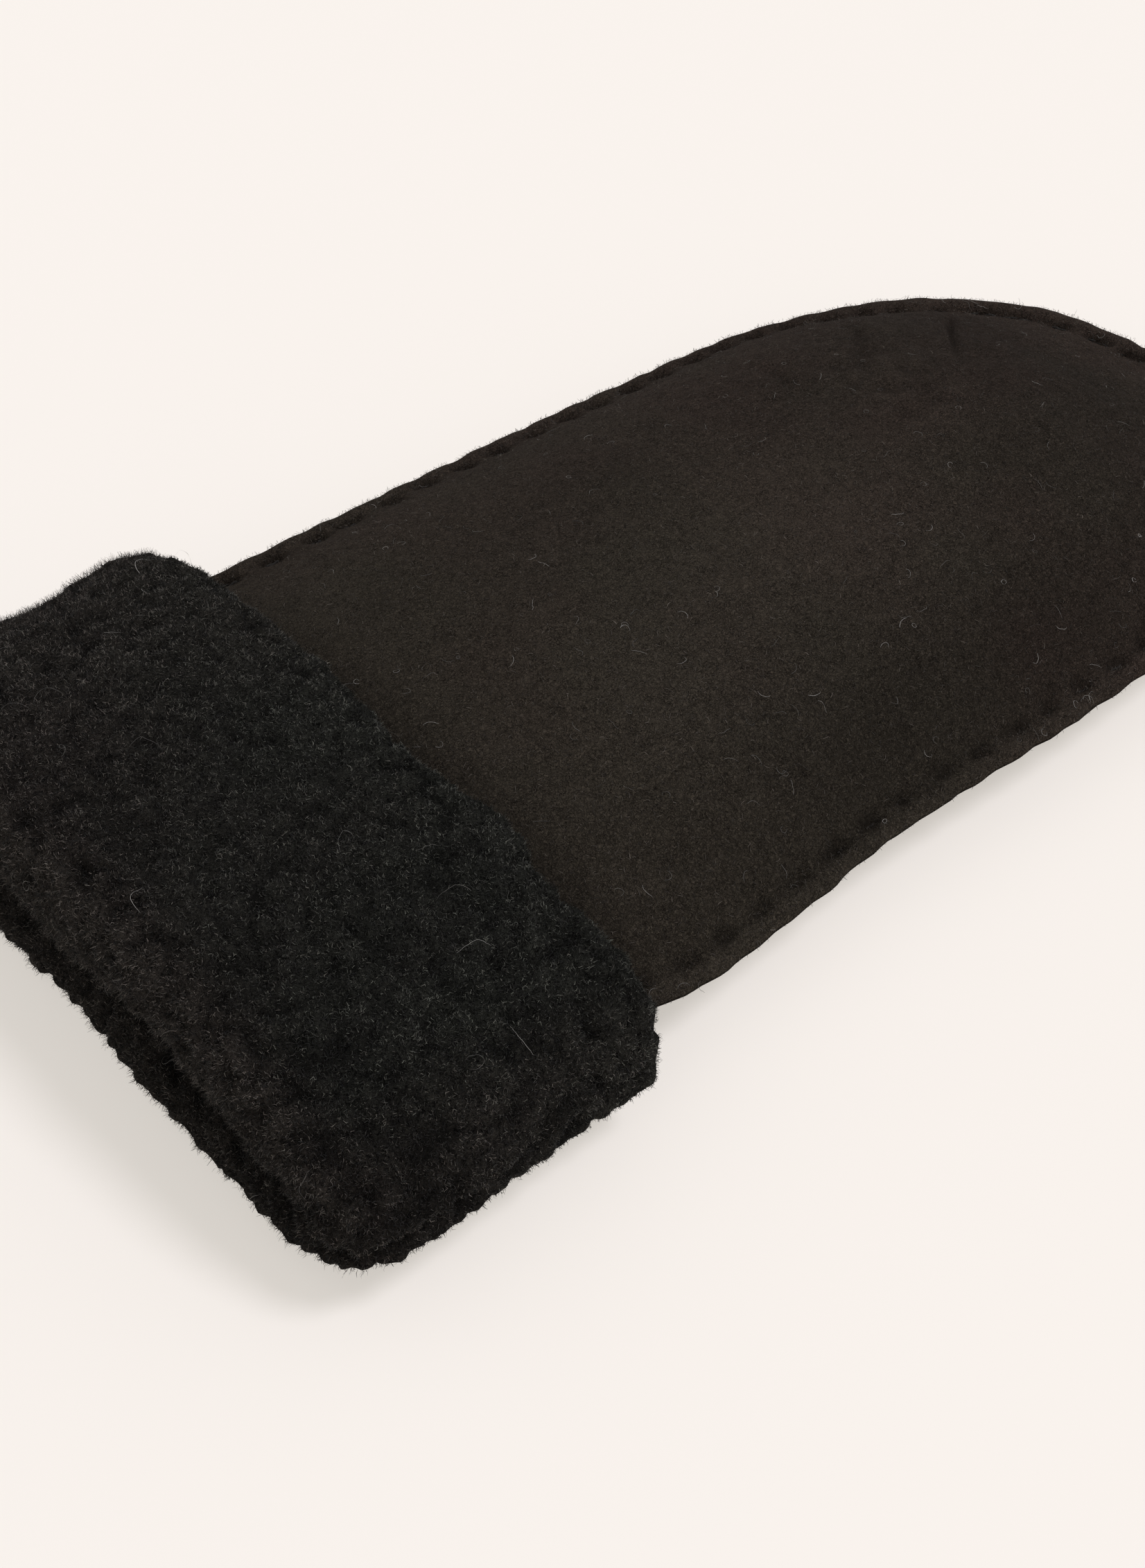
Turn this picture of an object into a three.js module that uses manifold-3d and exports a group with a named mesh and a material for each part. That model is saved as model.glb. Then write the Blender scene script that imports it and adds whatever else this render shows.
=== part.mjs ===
// A sheepskin mitten lying on its palm: suede outside, fleece inside, and the cuff turned back so
// that its fleece shows. The thumb is folded flat under the palm.
// Millimetres. +X runs to the fingertips, +Y to the thumb's side and +Z up. The origin is on the
// surface that the mitten lies on, under the middle of its outline.
import * as THREE from "three";
import { mergeVertices } from "three/addons/utils/BufferGeometryUtils.js";
import Module from "manifold-3d";

const wasm = await Module();
wasm.setup();

const { clamp, lerp, smoothstep } = THREE.MathUtils;

// Driving dimensions
const LENGTH = 253;
const CUFF_DEPTH = 56; // turned back, from the mouth to its free edge
const TIP_LENGTH = 71; // the rounded end, a fuller ellipse in plan
const TIP_FULLNESS = 2.3; // 2 would be a true ellipse
const SHEEPSKIN = 5.2; // hide and clipped fleece together
const GAP = 0.3; // between pieces that touch

const MOUTH_X = -LENGTH / 2;
const TIP_X = LENGTH / 2;
const CUFF_EDGE_X = MOUTH_X + CUFF_DEPTH;
const ROUND_X = TIP_X - TIP_LENGTH;
const PANEL_END_X = MOUTH_X + 14; // the panels stop behind the cuff's rolled lip

// The raised seam round the hand, where both panels' edges stand out and are whipped together:
// how far out from the foot of the dome, and how far above or below the seam
const RIDGE = [
  { out: 0, rise: 1.2 },
  { out: 0.9, rise: 1.9 },
  { out: 1.9, rise: 2.3 },
  { out: 2.9, rise: 1.9 },
  { out: 3.5, rise: 1.1 },
  { out: 3.8, rise: GAP / 2 },
];
const RIDGE_WIDTH = RIDGE[RIDGE.length - 1].out;
const SEAM_ALLOWANCE = 2.5; // closed width inside the ridge

// Sections across the hand: heights of the seam on each side, of the crown and of the palm's
// lowest line, and the half width to the foot of the ridge. A palm below 0 is pressed flat.
const SECTIONS = [
  { x: PANEL_END_X, nearSeam: 15.6, farSeam: 18.4, crown: 29.2, palm: 7.8, half: 54.6 },
  { x: CUFF_EDGE_X, nearSeam: 15.0, farSeam: 18.2, crown: 29.6, palm: 7.8, half: 56.0 },
  { x: -56, nearSeam: 12.6, farSeam: 17.8, crown: 31.0, palm: 3.5, half: 56.6 },
  { x: -38, nearSeam: 12.0, farSeam: 17.4, crown: 32.4, palm: -1.0, half: 56.0 },
  { x: 5, nearSeam: 12.6, farSeam: 16.6, crown: 33.2, palm: -2.5, half: 55.2 },
  { x: ROUND_X, nearSeam: 12.6, farSeam: 15.6, crown: 33.0, palm: -2.5, half: 55.2 },
  { x: 95, nearSeam: 11.6, farSeam: 14.6, crown: 30.5, palm: -1.5, half: 55.2 },
  { x: TIP_X, nearSeam: 13.0, farSeam: 13.6, crown: 26.0, palm: 0.5, half: 55.2 },
];

// Soft hollows in the back of the hand
const DENTS = [
  { x: -50, y: -6, alongX: 8, alongY: 48, depth: 1.2 },
  { x: 40, y: 20, alongX: 26, alongY: 9, depth: 0.8 },
  { x: 92, y: 22, alongX: 7, alongY: 14, depth: 1.0 },
  { x: 103, y: 2, alongX: 12, alongY: 6, depth: 0.9 },
  { x: 84, y: -30, alongX: 10, alongY: 12, depth: 0.8 },
];

// The thumb, a flat pouch under the far half of the palm, rounded at both ends
const THUMB = { rootX: -44, tipX: 54, y: 27, rootHalf: 20.5, tipHalf: 17.5, top: 13.4, wall: 3.2 };
const THUMB_HOLE = { x: -17, y: 27, halfLength: 20, halfWidth: 15.5 };
const THUMB_CLEARANCE = 1.5;
const THUMB_FADE = 20; // how far round the thumb the palm is lifted
const LIFT_SHARE = 0.88; // of the half width; from here to the seam the lift dies away

// The cuff's contours, as rounded rectangles |y/half|^flat + |z/height|^round = 1
const CUFF_OUTER = { half: 68.4, top: 37.3, bottom: -1.2, middle: 15, flat: 3.2, round: 2 };
const CUFF_SLEEVE = { half: 62.5, top: 30.3, bottom: 6.3, middle: 17, flat: 3, round: 1.8 };
const CUFF_MOUTH = { half: 50, top: 19.4, bottom: 11.8, middle: 15.6, flat: 3, round: 1.6 };
const CUFF_TILT = 1.4; // the far side sits higher and the near side lower
const CUFF_SKEW = 1.6; // the far end of the free edge reaches further than the near end
const LOWER_LIP_BACK = 1.5; // under the mouth the lip lies further in
const LOCK_RISE = 0.7; // the fleece stands out in locks by this much, and lies back as much between
const LOCK_SHARE = 0.6; // of the way out from the inner contour; the locks start here

// A value of one column of a table at x, on a smooth curve through the rows
function along(table, column, x) {
  const last = table.length - 1;
  const clamped = clamp(x, table[0].x, table[last].x);
  let i = 0;
  while (i < last - 1 && clamped > table[i + 1].x) i += 1;
  const slope = (k) => {
    const before = table[Math.max(k - 1, 0)];
    const after = table[Math.min(k + 1, last)];
    return (after[column] - before[column]) / (after.x - before.x);
  };
  const span = table[i + 1].x - table[i].x;
  const t = (clamped - table[i].x) / span;
  const a = table[i][column];
  const b = table[i + 1][column];
  return (
    a * (1 + 2 * t) * (1 - t) ** 2 +
    b * t * t * (3 - 2 * t) +
    span * (slope(i) * t * (1 - t) ** 2 - slope(i + 1) * t * t * (1 - t))
  );
}

// How high a dome stands at a share of its half width: 1 over the spine, 0 at the edge
const backDome = (share) => Math.max(0, 1 - share ** 2.3) ** 0.8;
const palmDome = (share) => Math.max(0, 1 - share ** 4) ** 0.6;

function seamHeight(x, y) {
  const share = clamp((y / along(SECTIONS, "half", x) + 1) / 2, 0, 1);
  return lerp(along(SECTIONS, "nearSeam", x), along(SECTIONS, "farSeam", x), share);
}

function dentDepth(x, y) {
  return DENTS.reduce((sum, dent) => {
    const far = ((x - dent.x) / dent.alongX) ** 2 + ((y - dent.y) / dent.alongY) ** 2;
    return sum + dent.depth * Math.exp(-far);
  }, 0);
}

// Distance outside the thumb's plan outline, a tapered bar with round ends; negative inside
function outsideThumb(x, y) {
  const rootCentre = THUMB.rootX + THUMB.rootHalf;
  const tipCentre = THUMB.tipX - THUMB.tipHalf;
  const centre = clamp(x, rootCentre, tipCentre);
  const half = lerp(THUMB.rootHalf, THUMB.tipHalf, (centre - rootCentre) / (tipCentre - rootCentre));
  return Math.hypot(x - centre, y - THUMB.y) - half;
}

// The outside of the back of the hand
function backHeight(x, y, share) {
  const foot = seamHeight(x, y) + RIDGE[0].rise;
  const crown = along(SECTIONS, "crown", x) - dentDepth(x, y);
  return foot + (crown - foot) * backDome(share);
}

// The outside of the palm: pressed flat on the surface, and lifted over the thumb
function palmHeight(x, y, share) {
  const foot = seamHeight(x, y) - RIDGE[0].rise;
  const free = foot - (foot - along(SECTIONS, "palm", x)) * palmDome(share);
  const overThumb = 1 - smoothstep(outsideThumb(x, y), THUMB_CLEARANCE, THUMB_FADE);
  const clearOfSeam = 1 - smoothstep(share, LIFT_SHARE, 1);
  return lerp(Math.max(0, free), THUMB.top + GAP, overThumb * clearOfSeam);
}

// The inside of the fleece: half the space between the two outsides, less a sheepskin on each
// side, closing to the seam at the cavity's edge. side is 1 for the back and -1 for the palm.
function liningHeight(x, y, share, cavityShare, side) {
  const top = backHeight(x, y, share);
  const bottom = palmHeight(x, y, share);
  const open = palmDome(cavityShare);
  const middle = lerp(seamHeight(x, y), (top + bottom) / 2, open);
  const room = ((top - bottom) / 2 - SHEEPSKIN) * open;
  return middle + side * Math.max(GAP / 2, room);
}

// Stations round the hand's outline, from the near side of the mouth round the tip to the far
// side: the foot of the ridge, the point of the spine it is measured from, and the way out
function outlineStations() {
  const sideSteps = 17;
  const tipSteps = 24;
  const roundHalf = along(SECTIONS, "half", ROUND_X);
  const tipReach = TIP_LENGTH - RIDGE_WIDTH;
  const sideStation = (i, sign) => {
    const x = lerp(PANEL_END_X, ROUND_X, i / sideSteps);
    return {
      spine: new THREE.Vector2(x, 0),
      foot: new THREE.Vector2(x, sign * along(SECTIONS, "half", x)),
      out: new THREE.Vector2(0, sign),
    };
  };
  const stations = [];
  for (let i = 0; i < sideSteps; i += 1) stations.push(sideStation(i, -1));
  for (let i = 0; i <= tipSteps; i += 1) {
    const angle = lerp(-Math.PI / 2, Math.PI / 2, i / tipSteps);
    const ahead = Math.max(0, Math.cos(angle)) ** (2 / TIP_FULLNESS);
    const across = Math.sign(angle) * Math.abs(Math.sin(angle)) ** (2 / TIP_FULLNESS);
    const slope = TIP_FULLNESS - 1;
    stations.push({
      spine: new THREE.Vector2(ROUND_X, 0),
      foot: new THREE.Vector2(ROUND_X + tipReach * ahead, roundHalf * across),
      out: new THREE.Vector2(
        ahead ** slope / tipReach,
        (Math.sign(across) * Math.abs(across) ** slope) / roundHalf,
      ).normalize(),
    });
  }
  for (let i = sideSteps - 1; i >= 0; i -= 1) stations.push(sideStation(i, 1));
  return stations;
}

// A closed geometry as a solid that can be joined and cut
function solidOf(geometry) {
  const bare = new THREE.BufferGeometry();
  bare.setAttribute("position", geometry.getAttribute("position").clone());
  if (geometry.index) bare.setIndex(geometry.index);
  const merged = mergeVertices(bare, 1e-3);
  return new wasm.Manifold(
    new wasm.Mesh({
      numProp: 3,
      vertProperties: merged.attributes.position.array,
      triVerts: new Uint32Array(merged.index.array),
    }),
  );
}

// A solid from a grid of points. Each column is a loop from its first row to its last, and the
// first and last columns are capped unless the columns go all the way round. Triangles with no
// area, as at a pole, are left out, and the faces are turned to point outwards.
function loftedSolid(columns, { columnsMeet, rowsMeet }) {
  const rows = columns[0].length;
  const faces = [];
  const keep = (a, b, c) => {
    const same = (p, q) => p.distanceToSquared(q) < 1e-8;
    if (!same(a, b) && !same(b, c) && !same(c, a)) faces.push([a, b, c]);
  };
  for (let i = 0; i < columns.length - (columnsMeet ? 0 : 1); i += 1) {
    const here = columns[i];
    const next = columns[(i + 1) % columns.length];
    for (let j = 0; j < rows - (rowsMeet ? 0 : 1); j += 1) {
      const k = (j + 1) % rows;
      keep(here[j], next[j], next[k]);
      keep(here[j], next[k], here[k]);
    }
  }
  if (!columnsMeet) {
    for (const [loop, isLast] of [[columns[0], false], [columns[columns.length - 1], true]]) {
      const flat = loop.map((point) => new THREE.Vector2(point.y, point.z));
      const turned = isLast !== THREE.ShapeUtils.isClockWise(flat);
      for (const [a, b, c] of THREE.ShapeUtils.triangulateShape(flat, [])) {
        if (turned) keep(loop[a], loop[c], loop[b]);
        else keep(loop[a], loop[b], loop[c]);
      }
    }
  }
  const volume = faces.reduce((sum, [a, b, c]) => sum + a.dot(b.clone().cross(c)), 0);
  const points = faces.flatMap(([a, b, c]) => (volume > 0 ? [a, b, c] : [a, c, b]));
  return solidOf(new THREE.BufferGeometry().setFromPoints(points));
}

function meshOf(name, solid, material) {
  const cut = solid.getMesh();
  const geometry = new THREE.BufferGeometry();
  geometry.setAttribute("position", new THREE.BufferAttribute(cut.vertProperties, 3));
  geometry.setIndex(new THREE.BufferAttribute(cut.triVerts, 1));
  geometry.computeVertexNormals();
  const mesh = new THREE.Mesh(geometry, material);
  mesh.name = name;
  return mesh;
}

// One half of the hand: the outside of its dome, the ridge, the closed seam and the lining
function handPanel(outsideHeight, side) {
  const outerShares = [0, 0.14, 0.28, 0.42, 0.56, 0.69, 0.8, 0.88, 0.94, 0.98];
  const liningShares = [1, 0.98, 0.92, 0.83, 0.71, 0.56, 0.38, 0.19, 0];
  const columns = outlineStations().map(({ spine, foot, out }) => {
    const loop = [];
    const place = (at, z) => loop.push(new THREE.Vector3(at.x, at.y, z));
    for (const share of outerShares) {
      const at = spine.clone().lerp(foot, share);
      place(at, outsideHeight(at.x, at.y, share));
    }
    const seam = seamHeight(foot.x, foot.y);
    for (const { out: reach, rise } of RIDGE) {
      place(foot.clone().addScaledVector(out, reach), seam + side * rise);
    }
    const edgeShare = 1 - SEAM_ALLOWANCE / spine.distanceTo(foot);
    for (const cavityShare of liningShares) {
      const share = cavityShare * edgeShare;
      const at = spine.clone().lerp(foot, share);
      place(at, liningHeight(at.x, at.y, share, cavityShare, side));
    }
    return loop;
  });
  return loftedSolid(columns, { columnsMeet: false, rowsMeet: false });
}

// One side of a cuff contour, from the far seam over the top or under the bottom to the near seam
class ContourHalf extends THREE.Curve {
  constructor(contour, side) {
    super();
    this.contour = contour;
    this.side = side;
    this.arcLengthDivisions = 800;
  }

  getPoint(t) {
    const { half, top, bottom, middle, flat, round } = this.contour;
    const across = Math.cos(Math.PI * t);
    const height = this.side > 0 ? top - middle : middle - bottom;
    const y = half * Math.sign(across) * Math.abs(across) ** (2 / flat);
    const z = middle + this.side * height * Math.max(0, Math.sin(Math.PI * t)) ** (2 / round);
    return new THREE.Vector3(0, y, z);
  }
}

// A whole contour as evenly spaced points, with one at each side seam
function contourPoints(contour, halfSteps) {
  const top = new ContourHalf(contour, 1).getSpacedPoints(halfSteps);
  const bottom = new ContourHalf(contour, -1).getSpacedPoints(halfSteps).reverse();
  return [...top.slice(0, -1), ...bottom.slice(0, -1)];
}

// The cuff's section: up from the sleeve at the free edge, along the outside, round the lip and
// back into the mouth. share runs from the inner contour, 0, to the outer one, 1.
function cuffSection() {
  const outsideRows = 7;
  const section = [
    { x: CUFF_EDGE_X - 1.5, inner: "sleeve", share: 0 },
    { x: CUFF_EDGE_X, inner: "sleeve", share: 0.3 },
    { x: CUFF_EDGE_X - 0.2, inner: "sleeve", share: 0.65 },
    { x: CUFF_EDGE_X - 2.2, inner: "sleeve", share: 0.92 },
  ];
  for (let i = 0; i < outsideRows; i += 1) {
    const x = lerp(CUFF_EDGE_X - 6, MOUTH_X + 13, i / (outsideRows - 1));
    section.push({ x, inner: "mouth", share: 1 });
  }
  section.push(
    { x: MOUTH_X + 7, inner: "mouth", share: 0.97 },
    { x: MOUTH_X + 2.6, inner: "mouth", share: 0.86 },
    { x: MOUTH_X + 0.4, inner: "mouth", share: 0.68 },
    { x: MOUTH_X, inner: "mouth", share: 0.5 },
    { x: MOUTH_X + 0.9, inner: "mouth", share: 0.3 },
    { x: MOUTH_X + 3.4, inner: "mouth", share: 0.12 },
    { x: MOUTH_X + 7.5, inner: "mouth", share: 0 },
    { x: PANEL_END_X - GAP, inner: "mouth", share: 0 },
    { x: PANEL_END_X - GAP, inner: "sleeve", share: 0 },
  );
  return section;
}

// The whole turned-back ring. Every second point of its outside stands out as a lock of fleece.
function cuffRing() {
  const halfSteps = 32;
  const outer = contourPoints(CUFF_OUTER, halfSteps);
  const inner = {
    sleeve: contourPoints(CUFF_SLEEVE, halfSteps),
    mouth: contourPoints(CUFF_MOUTH, halfSteps),
  };
  const centre = new THREE.Vector3(0, 0, CUFF_OUTER.middle);
  const columns = outer.map((outerPoint, i) => {
    const outward = outerPoint.clone().sub(centre).normalize();
    const underMouth = Math.max(0, -Math.sin((Math.PI * i) / halfSteps));
    return cuffSection().map(({ x, inner: contour, share }, j) => {
      const lock = share > LOCK_SHARE ? LOCK_RISE * ((i + j) % 2 ? 1 : -1) : 0;
      const point = inner[contour][i].clone().lerp(outerPoint, share).addScaledVector(outward, lock);
      const tilt = (CUFF_TILT * point.y) / CUFF_OUTER.half;
      const skew = ((CUFF_SKEW * point.y) / CUFF_OUTER.half) * smoothstep(x, PANEL_END_X, CUFF_EDGE_X);
      const back = x < PANEL_END_X - 1 ? LOWER_LIP_BACK * underMouth : 0;
      return new THREE.Vector3(x + skew + back, point.y, Math.max(0, point.z + tilt));
    });
  });
  return loftedSolid(columns, { columnsMeet: true, rowsMeet: true });
}

// The ring is sewn from a back and a palm half that meet at the side seams
function cuffHalf(side) {
  const reach = 2 * LENGTH;
  const box = new THREE.BoxGeometry(reach, reach, reach);
  box.translate(0, 0, CUFF_SLEEVE.middle + side * (reach / 2 + GAP / 2));
  return cuffRing().intersect(solidOf(box));
}

// A flattened pouch in the thumb's outline, drawn in by a wall's thickness when it is the hollow
function thumbShape(inset) {
  const around = 40;
  const profile = [
    { share: 0, level: 0 },
    { share: 0.6, level: 0 },
    { share: 0.84, level: 0.04 },
    { share: 0.95, level: 0.18 },
    { share: 1, level: 0.5 },
    { share: 0.95, level: 0.82 },
    { share: 0.84, level: 0.96 },
    { share: 0.6, level: 1 },
    { share: 0, level: 1 },
  ];
  const middleX = (THUMB.rootX + THUMB.tipX) / 2;
  const columns = [];
  for (let i = 0; i < around; i += 1) {
    const angle = (2 * Math.PI * (i + 0.5)) / around;
    const towardTip = Math.cos(angle) > 0;
    const endHalf = towardTip ? THUMB.tipHalf : THUMB.rootHalf;
    const centreX = towardTip ? THUMB.tipX - endHalf : THUMB.rootX + endHalf;
    const half = endHalf - inset;
    columns.push(
      profile.map(({ share, level }) => {
        const x = lerp(middleX, centreX + half * Math.cos(angle), share);
        const y = THUMB.y + share * half * Math.sin(angle);
        return new THREE.Vector3(x, y, lerp(inset, THUMB.top - inset, level));
      }),
    );
  }
  return loftedSolid(columns, { columnsMeet: true, rowsMeet: false });
}

// An upright prism through the thumb's opening
function thumbHolePrism(bottom, top) {
  const { x, y, halfLength, halfWidth } = THUMB_HOLE;
  const outline = new THREE.Shape().absellipse(x, y, halfLength, halfWidth, 0, 2 * Math.PI);
  const depth = top - bottom;
  const prism = new THREE.ExtrudeGeometry(outline, { depth, bevelEnabled: false, curveSegments: 14 });
  prism.translate(0, 0, bottom);
  return solidOf(prism);
}

function palmPanel() {
  return handPanel(palmHeight, -1).subtract(thumbHolePrism(0, CUFF_OUTER.top));
}

function thumbPouch() {
  const hole = thumbHolePrism(THUMB.top / 2, THUMB.top + THUMB.wall);
  return thumbShape(0).subtract(thumbShape(THUMB.wall)).subtract(hole);
}

const suede = new THREE.MeshStandardMaterial({ color: 0x2f2a26, roughness: 0.95, metalness: 0 });
const fleece = new THREE.MeshStandardMaterial({ color: 0x1d1c1b, roughness: 1, metalness: 0 });

const mitten = new THREE.Group();
mitten.add(
  meshOf("back_panel", handPanel(backHeight, 1), suede),
  meshOf("palm_panel", palmPanel(), suede),
  meshOf("thumb_pouch", thumbPouch(), suede),
  meshOf("cuff_back", cuffHalf(1), fleece),
  meshOf("cuff_palm", cuffHalf(-1), fleece),
);
export default mitten;
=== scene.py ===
# A shearling mitten lying on its palm: suede outside, fleece inside, and its cuff turned back.
import itertools
from types import SimpleNamespace

import bmesh
import bpy
import numpy as np
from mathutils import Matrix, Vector


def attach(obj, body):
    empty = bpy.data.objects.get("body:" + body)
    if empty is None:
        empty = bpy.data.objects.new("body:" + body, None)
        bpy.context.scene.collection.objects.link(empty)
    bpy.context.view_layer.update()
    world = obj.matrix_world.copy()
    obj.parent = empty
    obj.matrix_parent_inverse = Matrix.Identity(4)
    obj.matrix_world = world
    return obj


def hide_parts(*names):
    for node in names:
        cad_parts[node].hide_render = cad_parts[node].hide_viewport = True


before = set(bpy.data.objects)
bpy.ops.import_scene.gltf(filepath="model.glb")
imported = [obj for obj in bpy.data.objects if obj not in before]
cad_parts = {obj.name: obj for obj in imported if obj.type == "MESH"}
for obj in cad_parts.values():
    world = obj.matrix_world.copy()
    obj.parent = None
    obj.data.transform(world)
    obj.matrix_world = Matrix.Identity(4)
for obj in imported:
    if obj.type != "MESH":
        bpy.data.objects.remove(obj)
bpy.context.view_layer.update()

# Shapes are worked out in millimetres and put into the meshes in metres.
MM = 0.001

# The hand: its ends along x, and rows of heights and half widths, close to the solids' own
MOUTH_X, PANEL_END_X, CUFF_EDGE_X, ROUND_X, TIP_X = -126.5, -112.5, -70.5, 55.5, 126.5
TIP_FULLNESS = 2.3
RIDGE_WIDTH = 3.8
SECTION_X = np.array([PANEL_END_X, CUFF_EDGE_X, -56, -38, 5, ROUND_X, 95, TIP_X])
SECTIONS = {
    "near_seam": np.array([15.6, 15.0, 12.6, 12.0, 12.6, 12.6, 12.4, 14.4]),
    "far_seam": np.array([18.4, 18.2, 17.5, 17.7, 17.3, 15.5, 14.0, 14.8]),
    "crown": np.array([29.2, 29.6, 31.0, 32.4, 33.2, 33.0, 30.5, 26.0]),
    "palm": np.array([7.8, 7.8, 3.5, -1.0, -2.5, -2.5, -1.5, 0.5]),
    "half": np.array([54.6, 56.0, 56.6, 56.0, 55.2, 55.2, 55.2, 55.2]),
}
# How far the seam sways outwards at places along x, on the near side and on the far side
SWAY_X = np.array([PANEL_END_X, -60, -40, -12, 4, 20, 50, 95, TIP_X])
NEAR_SWAY = np.array([0, 0.8, 0.4, -0.8, 0.1, 1.3, 1.6, 0.3, -0.3])
FAR_SWAY = np.array([0, 0.0, 0.0, 0.2, 0.2, 0.2, 0.0, -1.3, -0.3])
# The panel's edge above the seam's middle height, and the palm's below it
BACK_FOOT = 2.2
PALM_FOOT = 1.5
# Half of the gap that the two halves leave between them in the seam
SEAM_GAP = 0.15
# Soft hollows in the back: place, reach along x and y, depth
DENTS = [
    (-50, -6, 8, 48, 1.2),
    (40, 20, 26, 9, 0.8),
    (92, 22, 7, 14, 1.0),
    (103, 2, 12, 6, 0.9),
    (84, -30, 10, 12, 0.8),
    (79, 12, 7, 7, 0.5),
    (66, 36, 6, 8, 0.5),
]
# Creases in the back near the tip: one end, other end, half width, depth
CREASES = [
    ((97, 27), (74, 7), 0.7, 1.5),
    ((76, 35), (51, 7), 1.9, 1.3),
    ((48, 31), (44, 15), 1.8, 0.7),
    ((60, -15), (38, -26), 2.0, 0.5),
    ((118, -4), (110, -6), 1.6, 0.6),
    ((104, 30), (98, 20), 1.8, 0.5),
    ((48, 46), (42, 34), 2.0, 0.45),
]
# The patch of fine rumples in the back: place, reach along x and y
RUMPLED = (61, 10, 12, 16)
# Patches of painted light and painted shade on the suede: place, reach along x and y, amount
PAINTED_LIGHT_AND_SHADE_PATCHES = [
    (10, -5, 60, 32, 0.22),
    (16, -10, 24, 14, 0.26),
    (-36, -22, 26, 15, 0.20),
    (-4, -46, 24, 11, -0.24),
    (36, -44, 22, 12, -0.20),
    (57, -20, 12, 10, -0.14),
    (47, 27, 9, 6, -0.16),
    (58, 14, 9, 6, -0.12),
    (3, 22, 16, 10, -0.08),
    (-52, 16, 14, 22, 0.11),
    (16, 15, 12, 35, 0.09),
    (78, 25, 8, 8, 0.10),
]
HIDE = 1.4
SHEEPSKIN = 5.2
SEAM_ALLOWANCE = 2.5
STITCH_PITCH = 8.4
SEAM_SEED = 51
THUMB_SEED = 71
# How far a stitch's pit reaches over the ridge
RIDGE_PIT = 1.1
# Rows of a panel's grid over the dome, those of them in its outer fifth, and round the ridge
DOME_ROWS = 47
EDGE_ROWS = 24
RIDGE_ROWS = 15
# Columns of the grids: stations round the hand, round the thumb and over half of the cuff
BACK_COLUMNS = 600
PALM_COLUMNS = 300
LINING_COLUMNS = 160
THUMB_COLUMNS = 260
CUFF_HALF_COLUMNS = 210

THUMB = {"root_x": -44, "tip_x": 54, "y": 27, "root_half": 20.5, "tip_half": 17.5, "top": 13.4}

# The cuff's contours: |y/half|^flat + |z/height|^round = 1 about a middle height
CUFF_OUTER = {"half": 68.4, "top": 37.3, "bottom": -1.2, "middle": 15, "flat": 3.2, "round": 2}
CUFF_SLEEVE = {"half": 62.5, "top": 30.3, "bottom": 6.3, "middle": 17, "flat": 3, "round": 1.8}
CUFF_MOUTH = {"half": 50, "top": 19.4, "bottom": 11.8, "middle": 15.6, "flat": 3, "round": 1.6}
CUFF_TILT = 1.4
CUFF_SKEW = 1.6
LOWER_LIP_BACK = 1.5
# Where the cuff's fleece stands fuller or flatter: place, reach along x and y, height
PUFFS = [
    (-75, 54, 5, 10, 1.4),
    (-73, -62, 5, 9, 1.8),
    (-112, -60, 12, 8, -1.4),
    (-114, 58, 16, 9, -1.2),
]
# A row of the cuff's grid and one of the back's that face outwards
CUFF_OUTER_ROW = 20
BACK_OUTER_ROW = 10

# Fibres: how many, and in how many segments
PILE_PIECES = 4
PILE_FIBRES = 33000
PILE_SEGMENTS = 2
NAP_FIBRES = 20000
NAP_SEGMENTS = 3
CUFF_STRAYS = {"count": 30, "step": 0.4, "segments": 13, "lift": 1.2}
SUEDE_STRAYS = {"count": 360, "step": 0.24, "segments": 11, "lift": 0.12}

# The table's side in metres
TABLE_SIZE = 12.0


# Noise and curves on whole arrays

def lerp(a, b, t):
    return a + (b - a) * t


def smooth_step(low, high, x):
    """0 below low, 1 above high, and 3t^2 - 2t^3 of the share t between them."""
    t = np.clip((x - low) / (high - low), 0, 1)
    return t * t * (3 - 2 * t)


def bell(t):
    """1 at 0, and e to the power of minus t squared to both sides of it."""
    return np.exp(-(t**2))


def patch(x, y, place_x, place_y, reach_x, reach_y):
    """A bell in x and y about a place of the plan."""
    return np.exp(-(((x - place_x) / reach_x) ** 2) - ((y - place_y) / reach_y) ** 2)


def on_plan(x, y):
    """Points of the plan at height 0, for noise."""
    return np.stack([x, y, np.zeros(np.shape(x))], -1)


def on_line(run):
    """Points along a straight line, for noise."""
    return np.stack([run, np.zeros_like(run), np.zeros_like(run)], -1)


def unit(vectors):
    return vectors / np.maximum(np.linalg.norm(vectors, axis=-1, keepdims=True), 1e-9)


def scrambled(cells, seed):
    """A number from 0 to 1 for each lattice cell: its three whole numbers and the seed times large
    odd numbers, shifted onto themselves and multiplied twice, and the low 24 bits kept."""
    keep = 0xFFFFFFFF
    h = (cells @ np.array([0x8DA6B343, 0xD8163841, 0xCB1AB31F]) + seed * 0x165667B1) & keep
    h = ((h ^ (h >> 15)) * 0x2C1B3C6D) & keep
    h = ((h ^ (h >> 12)) * 0x297A2D39) & keep
    return ((h ^ (h >> 15)) & 0xFFFFFF) / 0xFFFFFF


def soft_noise(points, size, seed):
    """Smooth noise from -1 to 1: numbers at the corners of a lattice of edge size, blended by the
    smooth step of how far into its cell a point lies."""
    low = np.floor(points / size).astype(np.int64)
    part = points / size - low
    part = part * part * (3 - 2 * part)
    total = np.zeros(points.shape[:-1])
    for corner in itertools.product((0, 1), repeat=3):
        weight = np.prod(np.where(corner, part, 1 - part), axis=-1)
        total += weight * scrambled(low + np.array(corner), seed)
    return 2 * total - 1


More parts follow.
